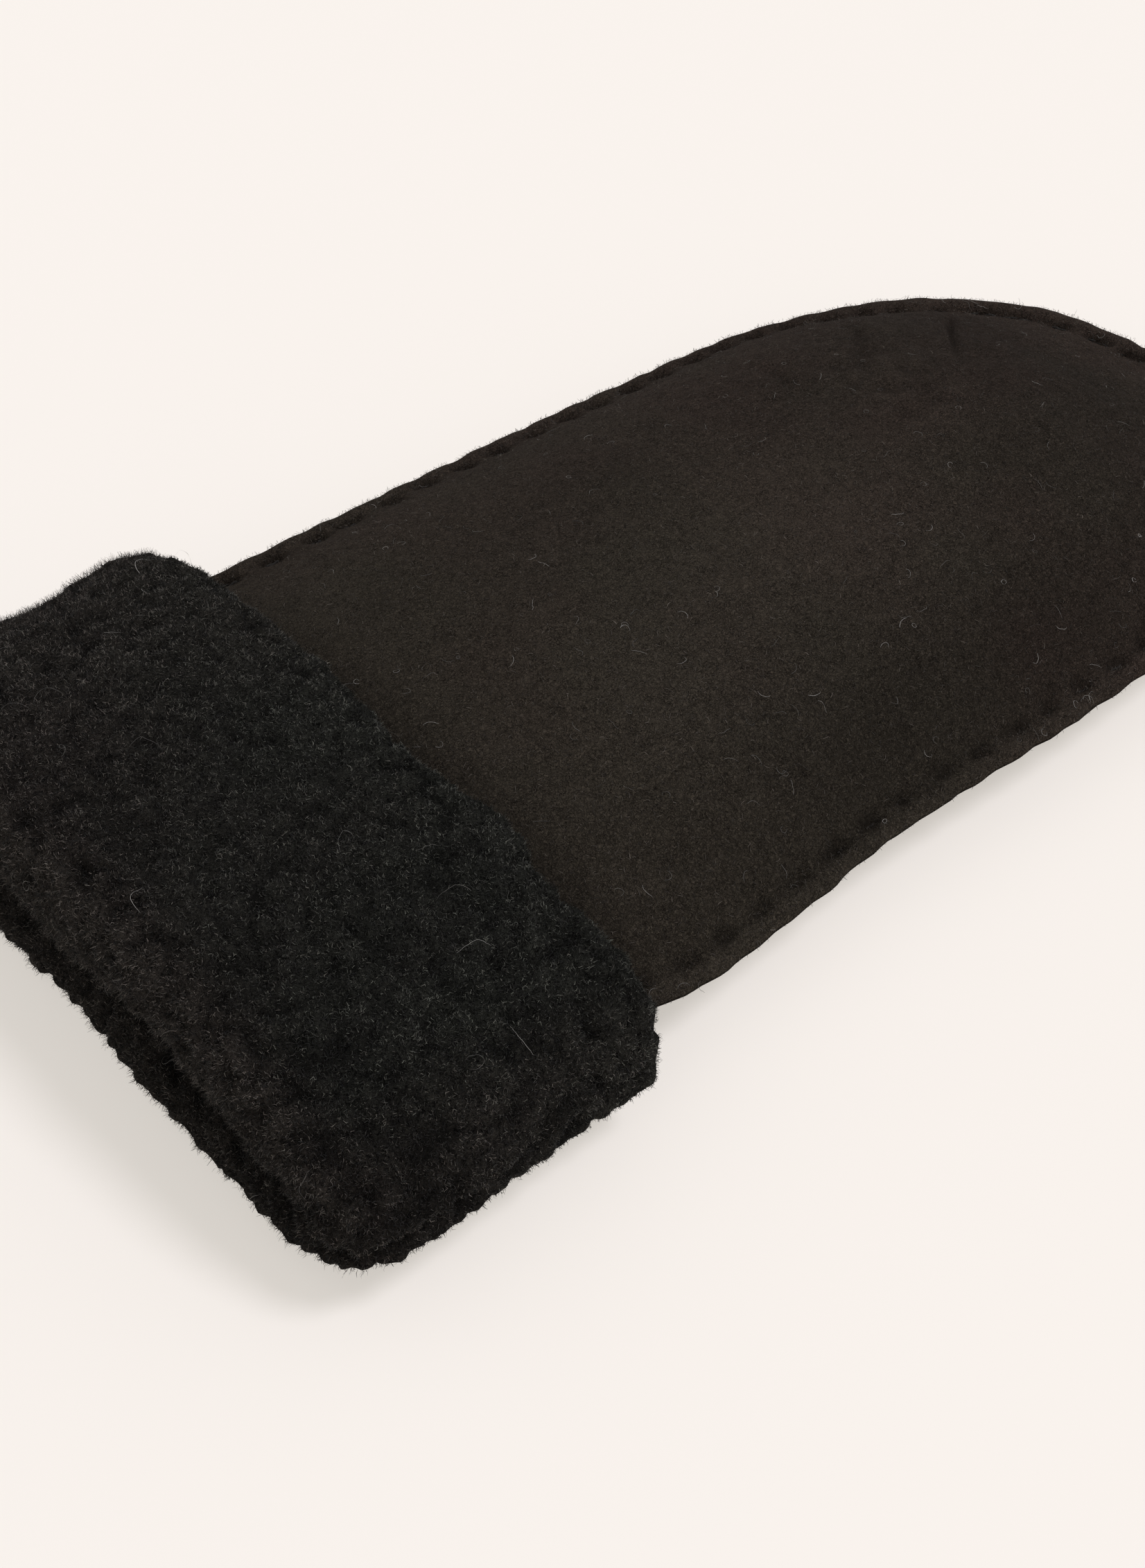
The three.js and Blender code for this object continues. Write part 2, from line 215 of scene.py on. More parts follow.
def tufts(points, size, seed):
    """Rounded tufts, one scattered in each lattice cell of edge size: the height is 1 minus the
    squared distance to the nearest, in cells, and each tuft has a number of its own."""
    cell = np.floor(points / size).astype(np.int64)
    nearest = np.full(points.shape[:-1], np.inf)
    own = np.zeros(points.shape[:-1])
    for step in itertools.product((-1, 0, 1), repeat=3):
        at = cell + np.array(step)
        middle = at + np.stack([scrambled(at, seed + k) for k in range(3)], -1)
        far = np.linalg.norm(points / size - middle, axis=-1)
        own = np.where(far < nearest, scrambled(at, seed + 3), own)
        nearest = np.minimum(nearest, far)
    return 1 - np.minimum(nearest, 1) ** 2, own


def along(column, x):
    """One column of the sections at x: between two rows a cubic that leaves each row with the
    slope from the row before it to the row after it."""
    value = SECTIONS[column]
    before = np.maximum(np.arange(len(value)) - 1, 0)
    after = np.minimum(np.arange(len(value)) + 1, len(value) - 1)
    slope = (value[after] - value[before]) / (SECTION_X[after] - SECTION_X[before])
    x = np.clip(x, SECTION_X[0], SECTION_X[-1])
    i = np.clip(np.searchsorted(SECTION_X, x, side="right") - 1, 0, len(value) - 2)
    span = SECTION_X[i + 1] - SECTION_X[i]
    t = (x - SECTION_X[i]) / span
    ends = value[i] * (1 + 2 * t) * (1 - t) ** 2 + value[i + 1] * t * t * (3 - 2 * t)
    return ends + span * (slope[i] * t * (1 - t) ** 2 - slope[i + 1] * t * t * (1 - t))


def spaced(points, count):
    """Points at equal steps of arc length along a dense line of points."""
    run = np.concatenate([[0], np.cumsum(np.linalg.norm(np.diff(points, axis=0), axis=1))])
    at = np.linspace(0, run[-1], count)
    return np.stack([np.interp(at, run, column) for column in points.T], -1), at


# The hand

def seam_height(x, y):
    """The seam's height, straight across from its near side to its far side."""
    share = np.clip((y / along("half", x) + 1) / 2, 0, 1)
    return lerp(along("near_seam", x), along("far_seam", x), share)


def outside_thumb(x, y):
    """Distance outside the thumb's plan outline, a tapered bar with round ends."""
    root, tip = THUMB["root_x"] + THUMB["root_half"], THUMB["tip_x"] - THUMB["tip_half"]
    centre = np.clip(x, root, tip)
    half = lerp(THUMB["root_half"], THUMB["tip_half"], (centre - root) / (tip - root))
    return np.hypot(x - centre, y - THUMB["y"]) - half


def hand_share(x, y):
    """How far out a point of the plan lies, 0 on the spine and 1 at the foot of the ridge: |y| over
    the half width, and over the rounded end a full ellipse in x and y."""
    ahead = np.maximum(0, x - ROUND_X) / (TIP_X - ROUND_X - RIDGE_WIDTH)
    across = np.abs(y) / along("half", np.minimum(x, ROUND_X))
    return (ahead ** TIP_FULLNESS + across ** TIP_FULLNESS) ** (1 / TIP_FULLNESS)


def rumples(x, y):
    """Fine rumples in one patch of the back: noise 4 mm wide times a bell in x and y."""
    return patch(x, y, *RUMPLED) * soft_noise(on_plan(x, y), 4, 17)


def creases(x, y):
    """How deep the creases are: a bell across each one's wobbling line, fading at its ends."""
    wobble = 0.5 * soft_noise(on_plan(x, y), 5, 14)
    deep = np.zeros(np.shape(x))
    for start, end, half_width, depth in CREASES:
        start, end = np.array(start, float), np.array(end, float)
        line = end - start
        length = np.linalg.norm(line)
        t = ((x - start[0]) * line[0] + (y - start[1]) * line[1]) / length**2
        far = np.abs((x - start[0]) * line[1] - (y - start[1]) * line[0] + wobble * length) / length
        ends = smooth_step(-0.3, 0.15, t) * (1 - smooth_step(0.3, 1.15, t))
        deep += depth * ends * bell(far / half_width)
    return deep


def back_relief(x, y):
    """Small shapes of the back: minus each dent, a bell in x and y, and minus the creases, plus the
    rumples and waves 26, 9 and 3.5 mm long, of which the shorter ones grow towards the tip."""
    flat = on_plan(x, y)
    tip = smooth_step(40, 100, x)
    relief = np.zeros(np.shape(x))
    for *place, depth in DENTS:
        relief -= depth * patch(x, y, *place)
    relief += 0.35 * soft_noise(flat, 26, 11)
    relief += 0.6 * rumples(x, y) - creases(x, y)
    relief += lerp(0.10, 0.55, tip) * soft_noise(flat, 9, 12)
    return relief + lerp(0.06, 0.16, tip) * soft_noise(flat, 3.5, 13)


def back_height(x, y, share):
    """The back of the hand: up from the foot of the ridge by a power of 1 - share^2.3 of the way to
    the crown, plus its relief, which fades at the foot. The power is 0.8, and higher near the seam
    and the tip, where the back falls off sooner."""
    foot = seam_height(x, y) + BACK_FOOT
    power = 0.8 + 0.25 * share**8 + 0.15 * smooth_step(60, 105, x)
    dome = np.maximum(0, 1 - share**2.3) ** power
    return foot + (along("crown", x) - foot) * dome + back_relief(x, y) * (1 - share**6)


def palm_height(x, y, share):
    """The palm: down from the foot of the ridge by (1 - share^4)^0.6 of the way to its lowest line,
    with waves 14 mm long, pressed flat at 0, and lifted over the thumb."""
    foot = seam_height(x, y) - PALM_FOOT
    dome = np.maximum(0, 1 - share**4) ** 0.6
    waves = 0.25 * soft_noise(on_plan(x, y), 14, 21) * dome
    free = foot + (along("palm", x) - foot) * dome + waves
    lift = (1 - smooth_step(1.5, 20, outside_thumb(x, y))) * (1 - smooth_step(0.88, 1, share))
    return lerp(np.maximum(0, free), THUMB["top"] + 0.3, lift)


def hand_outline(count):
    """Stations at equal steps round the hand, from the near side of the mouth round the tip to the
    far side: the foot of the ridge with its sway, the way out and the run so far."""
    side_x = np.linspace(PANEL_END_X, ROUND_X, 900)
    angle = np.linspace(-np.pi / 2, np.pi / 2, 3000)[1:-1]
    reach, half = TIP_X - ROUND_X - RIDGE_WIDTH, along("half", ROUND_X)
    ahead = np.cos(angle) ** (2 / TIP_FULLNESS)
    across = np.sign(angle) * np.abs(np.sin(angle)) ** (2 / TIP_FULLNESS)
    sides = along("half", side_x)
    x = np.concatenate([side_x, ROUND_X + reach * ahead, side_x[::-1]])
    y = np.concatenate([-sides, half * across, sides[::-1]])
    foot, run = spaced(np.stack([x, y], -1), count)
    foot = (foot + foot[::-1] * [1, -1]) / 2

    ahead = np.maximum(0, foot[:, 0] - ROUND_X) / reach
    across = foot[:, 1] / along("half", np.minimum(foot[:, 0], ROUND_X))
    slope = TIP_FULLNESS - 1
    side_out = np.sign(across) * np.abs(across) ** slope / half
    out = unit(np.stack([ahead**slope / reach, side_out], -1))
    near, far = (np.interp(foot[:, 0], SWAY_X, sway) for sway in (NEAR_SWAY, FAR_SWAY))
    sway = np.where(foot[:, 1] < 0, near, far)
    return foot + out * sway[:, None], out, run


def stitch_pulses(run, seed):
    """1 in the middle of each stitch and 0 between stitches: (1 - t^2)^2 of the distance t from a
    stitch's middle in its half lengths. Stitches stand a pitch apart, some nearer or longer."""
    middles, halves = stitch_places(run[-1], seed)
    t = np.clip((run[:, None] - middles[None]) / halves[None], -1, 1)
    return ((1 - t * t) ** 2).max(1)


def stitch_places(length, seed):
    """The middle and half length of each stitch along a seam: a pitch apart give or take 0.7 mm,
    and longer at the tip, halfway along."""
    rng = np.random.default_rng(seed)
    count = int(length / STITCH_PITCH)
    middles = (np.arange(count) + 0.5) * length / count + rng.uniform(-0.7, 0.7, count)
    at_tip = bell((middles / length - 0.5) / 0.12)
    return middles, rng.uniform(2.7, 4.0, count) + 1.3 * at_tip


def spine_and_reach(foot):
    """The spine's x at each station, and the distance from the spine to the foot of the ridge."""
    spine_x = np.minimum(foot[:, 0], ROUND_X)[:, None]
    return spine_x, np.hypot(foot[:, 0] - spine_x[:, 0], foot[:, 1])[:, None]


def seam_stations(columns, seed):
    """The seam at each station: the foot of the ridge, the way out, a line of points for noise,
    how near the tip and the far side it is, the pull of its stitches, and the depth and the reach
    of their pits. On the tip's far half the stitches run together."""
    foot, out, run = hand_outline(columns)
    line = on_line(run)
    tip = smooth_step(72, 104, foot[:, :1])
    far = np.maximum(smooth_step(-20, 30, foot[:, 1:]), tip)
    pulse = stitch_pulses(run, seed)[:, None]
    pulse = np.maximum(pulse, 0.7 * tip * bell((foot[:, 1:] - 26) / 13))
    uneven = 1 + lerp(0.3, 0.6, tip) * soft_noise(line, 9, seed + 3)[:, None]
    pit = pulse * uneven * lerp(1.3, 2.6, far)
    pit_reach = lerp(1.1, 1.6, far)
    return SimpleNamespace(
        foot=foot, out=out, line=line, tip=tip, far=far, pulse=pulse, pit=pit, pit_reach=pit_reach
    )


def dome_part(seam, height, side, seed):
    """Rows over the dome, from the spine to the foot of the ridge, and how far inside the foot they
    lie. The stitches pull pits into the line where dome and ridge meet. Next to it the suede is
    drawn down at the stitches and stands up between them, and falls off in a soft shoulder."""
    spine_x, reach = spine_and_reach(seam.foot)
    share = np.linspace(0, 0.8, DOME_ROWS - EDGE_ROWS, endpoint=False)
    share = np.concatenate([share, np.linspace(0.8, 1, EDGE_ROWS)])[None]
    x = lerp(spine_x, seam.foot[:, :1], share)
    y = seam.foot[:, 1:] * share
    inside = (1 - share) * reach
    pucker = (2 * seam.pulse - 1) * 0.25 + 0.35 * soft_noise(seam.line, 5, seed + 1)[:, None]
    sunk = 0.08 * bell(inside / 1.4) + seam.pit * bell(inside / seam.pit_reach)
    sunk = sunk + pucker * bell(inside / 5) * (1 - bell(inside / 1.5))
    shoulder = 0.4 * seam.far + 0.2 * seam.tip
    sunk = sunk + shoulder * bell((inside - 2.5) / 2.5) * (1 - share**40)
    return np.stack([x, y, height(x, y, share) - side * sunk], -1), inside


def ridge_part(seam, side, seed):
    """Rows out over the ridge and back under it, and how far out the first of them lie. The ridge
    is 3.8 mm wide, 5 mm at the tip, with an uneven edge. It leaves the foot nearly level and rounds
    down at its edge as the root of 1 - d^3, or 1 - d^4.5 at the tip."""
    foot, tip, far, pulse = seam.foot, seam.tip, seam.far, seam.pulse
    t = np.linspace(0, 1, RIDGE_ROWS + 1)[None, 1:]
    ragged = 0.06 * soft_noise(seam.line, 7, seed + 2) + 0.03 * soft_noise(seam.line, 2.5, seed + 4)
    lumps = 0.12 * soft_noise(seam.line, 12, seed + 5)[:, None] * tip
    full = lerp(1.03, 0.96, pulse) + ragged[:, None] + lumps
    way = (1 - np.cos(np.pi * t)) / 2
    distance = full * (RIDGE_WIDTH + 1.2 * tip) * way
    level = (BACK_FOOT if side > 0 else PALM_FOOT) - (0.15 * pulse + 0.7 * (1 - far)) * way
    level = level + 0.3 * (far - tip) * full * np.sin(np.pi * way) ** 0.8
    rise = SEAM_GAP + (level - SEAM_GAP) * np.sqrt(1 - way ** (3 + 1.5 * tip))
    groove = 0.08 * bell(distance) + seam.pit * bell(distance / RIDGE_PIT)
    rise = np.maximum(SEAM_GAP, rise - groove)

    middle = seam_height(foot[:, :1], foot[:, 1:])
    under = np.array([[2.0, 0.8, 0.0]]) * full
    out = np.concatenate([distance, under], axis=1)
    x, y = foot[:, :1] + seam.out[:, :1] * out, foot[:, 1:] + seam.out[:, 1:] * out
    below = middle + side * np.full((1, under.shape[1]), SEAM_GAP)
    z = np.concatenate([middle + side * rise, below], axis=1)
    return np.stack([x, y, z], -1), distance


def panel_grid(height, side, seed, columns):
    """One half of the hand as loops, a column at each station, and its tone, the suede's painted
    light and shade with painted shade in the stitch pits: out over the dome, round the ridge, and
    back inside, a hide's thickness under the dome."""
    seam = seam_stations(columns, seed)
    dome, inside = dome_part(seam, height, side, seed)
    ridge, distance = ridge_part(seam, side, seed)

    spine_x, _ = spine_and_reach(seam.foot)
    share = np.array([[0.99, 0.96, 0.91, 0.83, 0.7, 0.5, 0.25, 0.0]])
    x, y = lerp(spine_x, seam.foot[:, :1], share), seam.foot[:, 1:] * share
    clear = seam_height(x, y) + side * SEAM_GAP
    hide = height(x, y, share) - side * HIDE
    hide = np.maximum(hide, clear) if side > 0 else np.minimum(hide, clear)
    grid = np.concatenate([dome, ridge, np.stack([x, y, hide], -1)], axis=1)
    grid[..., 2] = np.maximum(grid[..., 2], 0)

    # Painted shade in the stitch pits: the tone is darkened where they sink in, more on the far
    # side
    near = np.concatenate([bell(inside / seam.pit_reach), bell(distance / RIDGE_PIT)], axis=1)
    pits = np.zeros(grid.shape[:2])
    pits[:, : DOME_ROWS + RIDGE_ROWS] = seam.pulse * near
    darker = 0.42 + 0.3 * seam.far - 0.15 * seam.tip
    return grid, suede_painted_light_and_tone(grid) * (1 - darker * pits)


def suede_painted_light_and_tone(points):
    """The suede's painted light and shade, with a little random tone. Painted shade darkens it
    towards the tip and the near side, and a painted shadow lies along the cuff's edge. Painted
    light makes it lighter on the far side, at the tip's end, on the ridge and on the tip's rim,
    patches of painted light and painted shade lie over it, and painted shade darkens the creases
    and between rumples."""
    x, y = points[..., 0], points[..., 1]
    # Painted light on the far side and at the tip's end, plus the patches of painted light and
    # painted shade
    painted_light_and_shade = 0.17 * smooth_step(22, 42, y) + 0.34 * smooth_step(96, 110, x)
    for *place, amount in PAINTED_LIGHT_AND_SHADE_PATCHES:
        painted_light_and_shade = painted_light_and_shade + amount * patch(x, y, *place)
    # Painted shade towards the tip and the near side, and a painted shadow along the cuff's edge
    painted_shade = lerp(1.0, 0.78, smooth_step(50, 90, x)) * lerp(0.88, 1, smooth_step(-55, -28, y))
    painted_shade = painted_shade * lerp(0.62, 1, smooth_step(CUFF_EDGE_X, -60, x))
    share, tip = hand_share(x, y), smooth_step(60, 100, x)
    # Painted light on the ridge, lifting it out of the valley's shade, and on the tip's rim;
    # painted light and shade on the rumples and painted shade in the creases
    ridge = lerp(0.3, 0.25, tip) * smooth_step(1.0, 1.05, share)
    rim = 0.25 * tip * smooth_step(0.82, 0.97, share)
    fold_light_and_shade = 0.35 * rumples(x, y) - 0.13 * creases(x, y)
    return painted_shade + painted_light_and_shade + ridge + rim + fold_light_and_shade + 0.06 * soft_noise(points, 30, 15)


def suede_warmth(points):
    """How red the suede is: redder towards the tip, the far side and the near seam's front half,
    more olive near the cuff, in patches."""
    x, y = points[..., 0], points[..., 1]
    near = smooth_step(-35, -50, y) * smooth_step(-20, 20, x)
    slant = (x - 10) / 160 + y / 140
    return np.clip(0.35 + slant + 0.5 * near + 0.5 * soft_noise(points, 16, 16), 0, 1)


def fleece_warmth_and_rim_light(points):
    """How brown the fleece is: browner towards the far side and the mouth and in patches, and more
    so on the sides and the lips, where the brown is a painted rim light, light shining through the
    fibres."""
    x, y = points[..., 0], points[..., 1]
    # Painted rim light: browner on the sides and the lips
    rim_light_edges = 0.75 * smooth_step(52, 67, np.abs(y)) + 0.7 * smooth_step(-115, -125, x)
    slant = (y - 5) / 100 - (x + 94) / 100
    return np.clip(0.45 + slant + rim_light_edges + 0.3 * soft_noise(points, 22, 64), 0, 1)


def fleece_painted_light(points):
    """Painted light and shade on the fleece: lighter towards the far side and along the edge on the
    hand, a painted highlight on the upper lip's rim, and painted shade at the near end of the mouth
    and in clumps on the near side."""
    x, y, z = points[..., 0], points[..., 1], points[..., 2]
    # Painted shade at the near end of the mouth, a painted highlight on the upper lip's rim and
    # painted shade in the clumps on the near side
    mouth_end_shade = smooth_step(-100, -115, x) * smooth_step(-30, -55, y)
    rim = bell((x + 124.6) / 2.2) * smooth_step(17, 22, z)
    light = 1 + 0.32 * smooth_step(0, 42, y) + 0.18 * smooth_step(-92, -80, x)
    clumps = np.maximum(0, soft_noise(points, 4.5, 65) - 0.05) * smooth_step(-15, -50, y)
    return light - 0.2 * mouth_end_shade + 0.7 * rim - 0.8 * clumps


def lining_grid(side):
    """The fleece inside one half of the hand, as loops: out along the face that the hand touches,
    which stands halfway between back and palm less a sheepskin's thickness and is tufted, and back
    along the hide."""
    foot, _, _ = hand_outline(LINING_COLUMNS)
    spine_x, reach = spine_and_reach(foot)
    edge = 1 - SEAM_ALLOWANCE / reach
    cavity = np.linspace(0, 1, 34)[None]
    share = cavity * edge
    x, y = lerp(spine_x, foot[:, :1], share), foot[:, 1:] * share
    top, bottom = back_height(x, y, share), palm_height(x, y, share)
    open_ = np.maximum(0, 1 - cavity**4) ** 0.6
    middle = lerp(seam_height(x, y), (top + bottom) / 2, open_)
    room = np.maximum(0.15, ((top - bottom) / 2 - SHEEPSKIN) * open_)
    clump, _ = tufts(np.stack([x, y, np.full_like(x, 7.0 * side)], -1), 3.6, 31)
    face = middle + side * np.maximum(0.1, room - 0.7 * clump * smooth_step(1, 3, room))
    wall = (top if side > 0 else bottom) - side * (HIDE + 0.1)
    wall = np.maximum(wall, face + 0.1) if side > 0 else np.minimum(wall, face - 0.1)
    outward = np.stack([x, y, face], -1)
    return np.concatenate([outward, np.stack([x, y, wall], -1)[:, ::-1]], axis=1)


# The cuff

def contour_points(contour):
    """A whole cuff contour at equal steps, over the top from the far side to the near side and back
    under the bottom."""
    t = np.linspace(0, np.pi, 3000)
    y = contour["half"] * np.sign(np.cos(t)) * np.abs(np.cos(t)) ** (2 / contour["flat"])
    rise = np.abs(np.sin(t)) ** (2 / contour["round"])
    top = contour["middle"] + (contour["top"] - contour["middle"]) * rise
    bottom = contour["middle"] - (contour["middle"] - contour["bottom"]) * rise
    over, _ = spaced(np.stack([y, top], -1), CUFF_HALF_COLUMNS + 1)
    under, _ = spaced(np.stack([y, bottom], -1), CUFF_HALF_COLUMNS + 1)
    return np.concatenate([over[:-1], under[::-1][:-1]])


def cuff_section():
    """Rows of the cuff's section, closely spaced: x, which inner contour (0 the sleeve, 1 the
    mouth) and the share of the way from it to the outer contour."""
    edge, mouth, end = CUFF_EDGE_X, MOUTH_X, PANEL_END_X - 0.3
    rows = [(edge - 1.5, 0, 0), (edge, 0, 0.3), (edge - 0.2, 0, 0.65), (edge - 2.2, 0, 0.92)]
    rows += [(edge - 6, 0.5, 1), (mouth + 13, 1, 1), (mouth + 7, 1, 0.97), (mouth + 2.6, 1, 0.86)]
    rows += [(mouth + 0.4, 1, 0.68), (mouth, 1, 0.5), (mouth + 0.9, 1, 0.3), (mouth + 3.4, 1, 0.12)]
    rows += [(mouth + 7.5, 1, 0), (end, 1, 0), (end, 0, 0), (edge - 1.5, 0, 0)]
    counts = [3, 4, 4, 5, 46, 7, 7, 5, 4, 4, 5, 5, 6, 4, 5]
    dense = [np.linspace(a, b, n, endpoint=False) for a, b, n in zip(rows, rows[1:], counts)]
    return np.concatenate(dense)


def grid_normals(grid):
    """Outward directions of a grid that closes on itself both ways: across one grid line and along
    the other, smoothed by the neighbours."""
    across = np.roll(grid, -1, 0) - np.roll(grid, 1, 0)
    down = np.roll(grid, -1, 1) - np.roll(grid, 1, 1)
    normal = unit(np.cross(across, down))
    for axis in (0, 1):
        normal = unit(normal + np.roll(normal, 1, axis) + np.roll(normal, -1, axis))
    return normal


def bare_cuff():
    """The cuff without its fleece, as a ring that closes both ways: contours blended row by row,
    tilted and skewed as the solids are, with the lips drawn together in the middle of the mouth.
    Also its turn (0 to 1 over the top, 1 to 2 below), how much shows and how near the lips."""
    outer, sleeve, mouth = (
        contour_points(contour)[:, None] for contour in (CUFF_OUTER, CUFF_SLEEVE, CUFF_MOUTH)
    )
    x, which, share = cuff_section().T[:, None]
    place = lerp(sleeve, mouth, which[..., None])
    place = lerp(place, outer, share[..., None])
    y, z = place[..., 0], place[..., 1]
    turn = np.arange(2 * CUFF_HALF_COLUMNS)[:, None] / CUFF_HALF_COLUMNS
    under_mouth = np.maximum(0, -np.sin(np.pi * turn))
    x = x + CUFF_SKEW * y / CUFF_OUTER["half"] * smooth_step(PANEL_END_X, CUFF_EDGE_X, x)
    at_lip = 1 - smooth_step(PANEL_END_X - 5, PANEL_END_X, x)
    together = at_lip * bell((y - 3) / 15) * (1 - smooth_step(0.3, 0.8, share))
    x = x + (LOWER_LIP_BACK + 2.5 * together) * under_mouth * at_lip
    z = z + CUFF_TILT * y / CUFF_OUTER["half"] - 3.2 * together * (turn < 1)
    shown = np.clip(share * 4 + 0.7 * which * (x < PANEL_END_X - 1.5), 0, 1)
    return np.stack([x, y, z], -1), turn, shown, at_lip


def cuff_grid():
    """The cuff's fleece, with its normals, how much of it shows and its tufts: the bare cuff pushed
    out by tufts 3 and 1.7 mm wide and by waves 18 mm long, and 7 mm on the far side, with a groove
    down each side seam, a puff or a hollow at each corner, and a wavering edge on the hand."""
    ring, turn, shown, at_lip = bare_cuff()
    x, y, z = (ring[..., k] for k in range(3))
    normal = grid_normals(ring)
    if normal[:CUFF_HALF_COLUMNS, CUFF_OUTER_ROW, 2].mean() < 0:
        normal = -normal
    large, _ = tufts(ring + 0.8 * soft_noise(ring, 3, 44)[..., None], 3.0, 41)
    small, _ = tufts(ring, 1.7, 45)
    rough = lerp(1.3, 2.4, smooth_step(10, -50, y) * 0.6 + at_lip * 0.4)
    push = rough * (large - 0.65) + 0.4 * (small - 0.6) + 0.5 * soft_noise(ring, 18, 46)
    column_mm = 0.8
    from_seam = np.minimum(np.abs(turn - 1), np.minimum(turn, 2 - turn)) * CUFF_HALF_COLUMNS
    push = push - 0.9 * bell(from_seam * column_mm / 1.8)
    push = push + 1.1 * soft_noise(ring, 7, 48) * smooth_step(38, 58, y)
    for *place, height in PUFFS:
        push = push + height * patch(x, y, *place) * smooth_step(5, 14, z)
    at_edge = bell((x - CUFF_EDGE_X) / 4)
    ring = ring + normal * (push * shown)[..., None]
    waver = 1.6 * soft_noise(ring, 11, 47) + 0.7 * soft_noise(ring, 4, 49)
    ring[..., 0] += waver * at_edge * shown
    ring[..., 2] = np.maximum(ring[..., 2], 0.15)
    return ring, normal, shown, large


# The thumb

def thumb_grid():
    """The thumb pouch as loops, a column at each angle: a flat bar with round ends and a rounded
    edge, with a raised seam round its middle height, fuller at each stitch."""
    flat_rows, swell_rows = 11, 22
    angle = 2 * np.pi * (np.arange(THUMB_COLUMNS) + 0.5) / THUMB_COLUMNS
    toward_tip = np.cos(angle) > 0
    half = np.where(toward_tip, THUMB["tip_half"], THUMB["root_half"])
    centre = np.where(toward_tip, THUMB["tip_x"] - half, THUMB["root_x"] + half)
    middle_x = (THUMB["root_x"] + THUMB["tip_x"]) / 2
    rim = np.stack([centre + half * np.cos(angle), THUMB["y"] + half * np.sin(angle)], -1)
    steps = np.linalg.norm(np.diff(np.concatenate([rim, rim[:1]]), axis=0), axis=1)
    pulse = stitch_pulses(np.cumsum(steps), THUMB_SEED)[:, None]

    swell = np.linspace(0, np.pi / 2, swell_rows)
    share = np.concatenate([np.linspace(0, 0.6, flat_rows + 1)[:-1], 0.6 + 0.4 * np.sin(swell)])
    level = np.concatenate([np.zeros(flat_rows), 0.5 * (1 - np.cos(swell))])
    share = np.concatenate([share, share[::-1][1:]])[None]
    level = np.concatenate([level, 1 - level[::-1][1:]])[None]
    ridge = bell((level - 0.5) * THUMB["top"] / 0.9) * lerp(1.0, 1.6, pulse)
    groove = 0.5 * pulse * bell((np.abs(level - 0.5) * THUMB["top"] - 2.4) / 0.8)
    beyond = ridge - groove
    x = lerp(middle_x, rim[:, :1], share) + np.cos(angle)[:, None] * beyond
    y = THUMB["y"] + (rim[:, 1:] - THUMB["y"]) * share + np.sin(angle)[:, None] * beyond
    return np.stack([x, y, level * THUMB["top"] + 0 * x], -1)


# Putting surfaces and fibres into meshes

def grid_quads(columns, rows, columns_meet, rows_meet):
    """Corner numbers of the quads of a grid whose point (i, j) is number i * rows + j."""
    i = np.arange(columns if columns_meet else columns - 1)[:, None]
    j = np.arange(rows if rows_meet else rows - 1)[None]
    i2, j2 = (i + 1) % columns, (j + 1) % rows
    corners = [i * rows + j, i2 * rows + j, i2 * rows + j2, i * rows + j2]
    return np.stack([c + 0 * (i + j) for c in corners], -1).reshape(-1, 4)


def stitch_thread():
    """Thread in the stitches: a tube of two twisted strands along each stitch, whose path sinks as
    the fourth power of the distance from its middle, above and below the ridge."""
    strand_radius, tube_radius = 0.17, 0.22
    foot, out, run = hand_outline(4000)
    middles, halves = stitch_places(run[-1], SEAM_SEED)
    t = np.linspace(-1, 1, 11)
    around = np.linspace(0, 2 * np.pi, 5, endpoint=False)
    up = np.array([0, 0, 1.0])
    points, quads, start = [], [], 0
    for side in (1, -1):
        at = middles[:, None] + halves[:, None] * 0.8 * t[None]
        x, y = np.interp(at, run, foot[:, 0]), np.interp(at, run, foot[:, 1])
        out_x, out_y = np.interp(at, run, out[:, 0]), np.interp(at, run, out[:, 1])
        rise = 0.55 - 0.9 * t[None] ** 4
        path = np.stack([x + 0.1 * out_x, y + 0.1 * out_y, seam_height(x, y) + side * rise], -1)
        outward = np.stack([out_x, out_y, 0 * out_x], -1)
        for strand in (0, np.pi):
            twist = strand + 5 * t[None, :, None]
            centre = path + strand_radius * (outward * np.cos(twist) + up * np.sin(twist))
            ring_dir = outward[:, :, None] * np.cos(around)[:, None] + up * np.sin(around)[:, None]
            tube = centre[:, :, None] + tube_radius * ring_dir
            count, rows, cols = tube.shape[:3]
            one = grid_quads(rows, cols, False, True)
            first = np.arange(count)[:, None, None] * rows * cols + start
            points.append(tube.reshape(-1, 3))
            quads.append((one[None] + first).reshape(-1, 4))
            start += count * rows * cols
    return np.concatenate(points), np.concatenate(quads)


def new_object(name, data):
    thing = bpy.data.objects.new(name, data)
    bpy.context.scene.collection.objects.link(thing)
    return thing


def new_piece(name, points, quads, finish, slot, stands_for=(), loops=(), closed=True, **fields):
    """A piece from points in millimetres, quads and end loops, with fields of a number a point. A
    closed piece has its doubled points merged and its faces turned outwards. It rides on the one
    body."""
    mesh = bpy.data.meshes.new(name)
    faces = [tuple(loop) for loop in loops]
    mesh.from_pydata((points.reshape(-1, 3) * MM).astype(np.float32), [], quads.tolist() + faces)
    for field, values in fields.items():
        data = mesh.attributes.new(field, "FLOAT", "POINT").data
        data.foreach_set("value", values.astype(np.float32))
    if closed:
        work = bmesh.new()
        work.from_mesh(mesh)
        bmesh.ops.remove_doubles(work, verts=work.verts, dist=1e-6)
        bmesh.ops.recalc_face_normals(work, faces=work.faces)
        work.to_mesh(mesh)
        work.free()
    mesh.shade_smooth()
    mesh.materials.append(finish)
    piece = new_object(name, mesh)
    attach(piece, "root")
    if stands_for:
        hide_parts(*stands_for)
    return piece


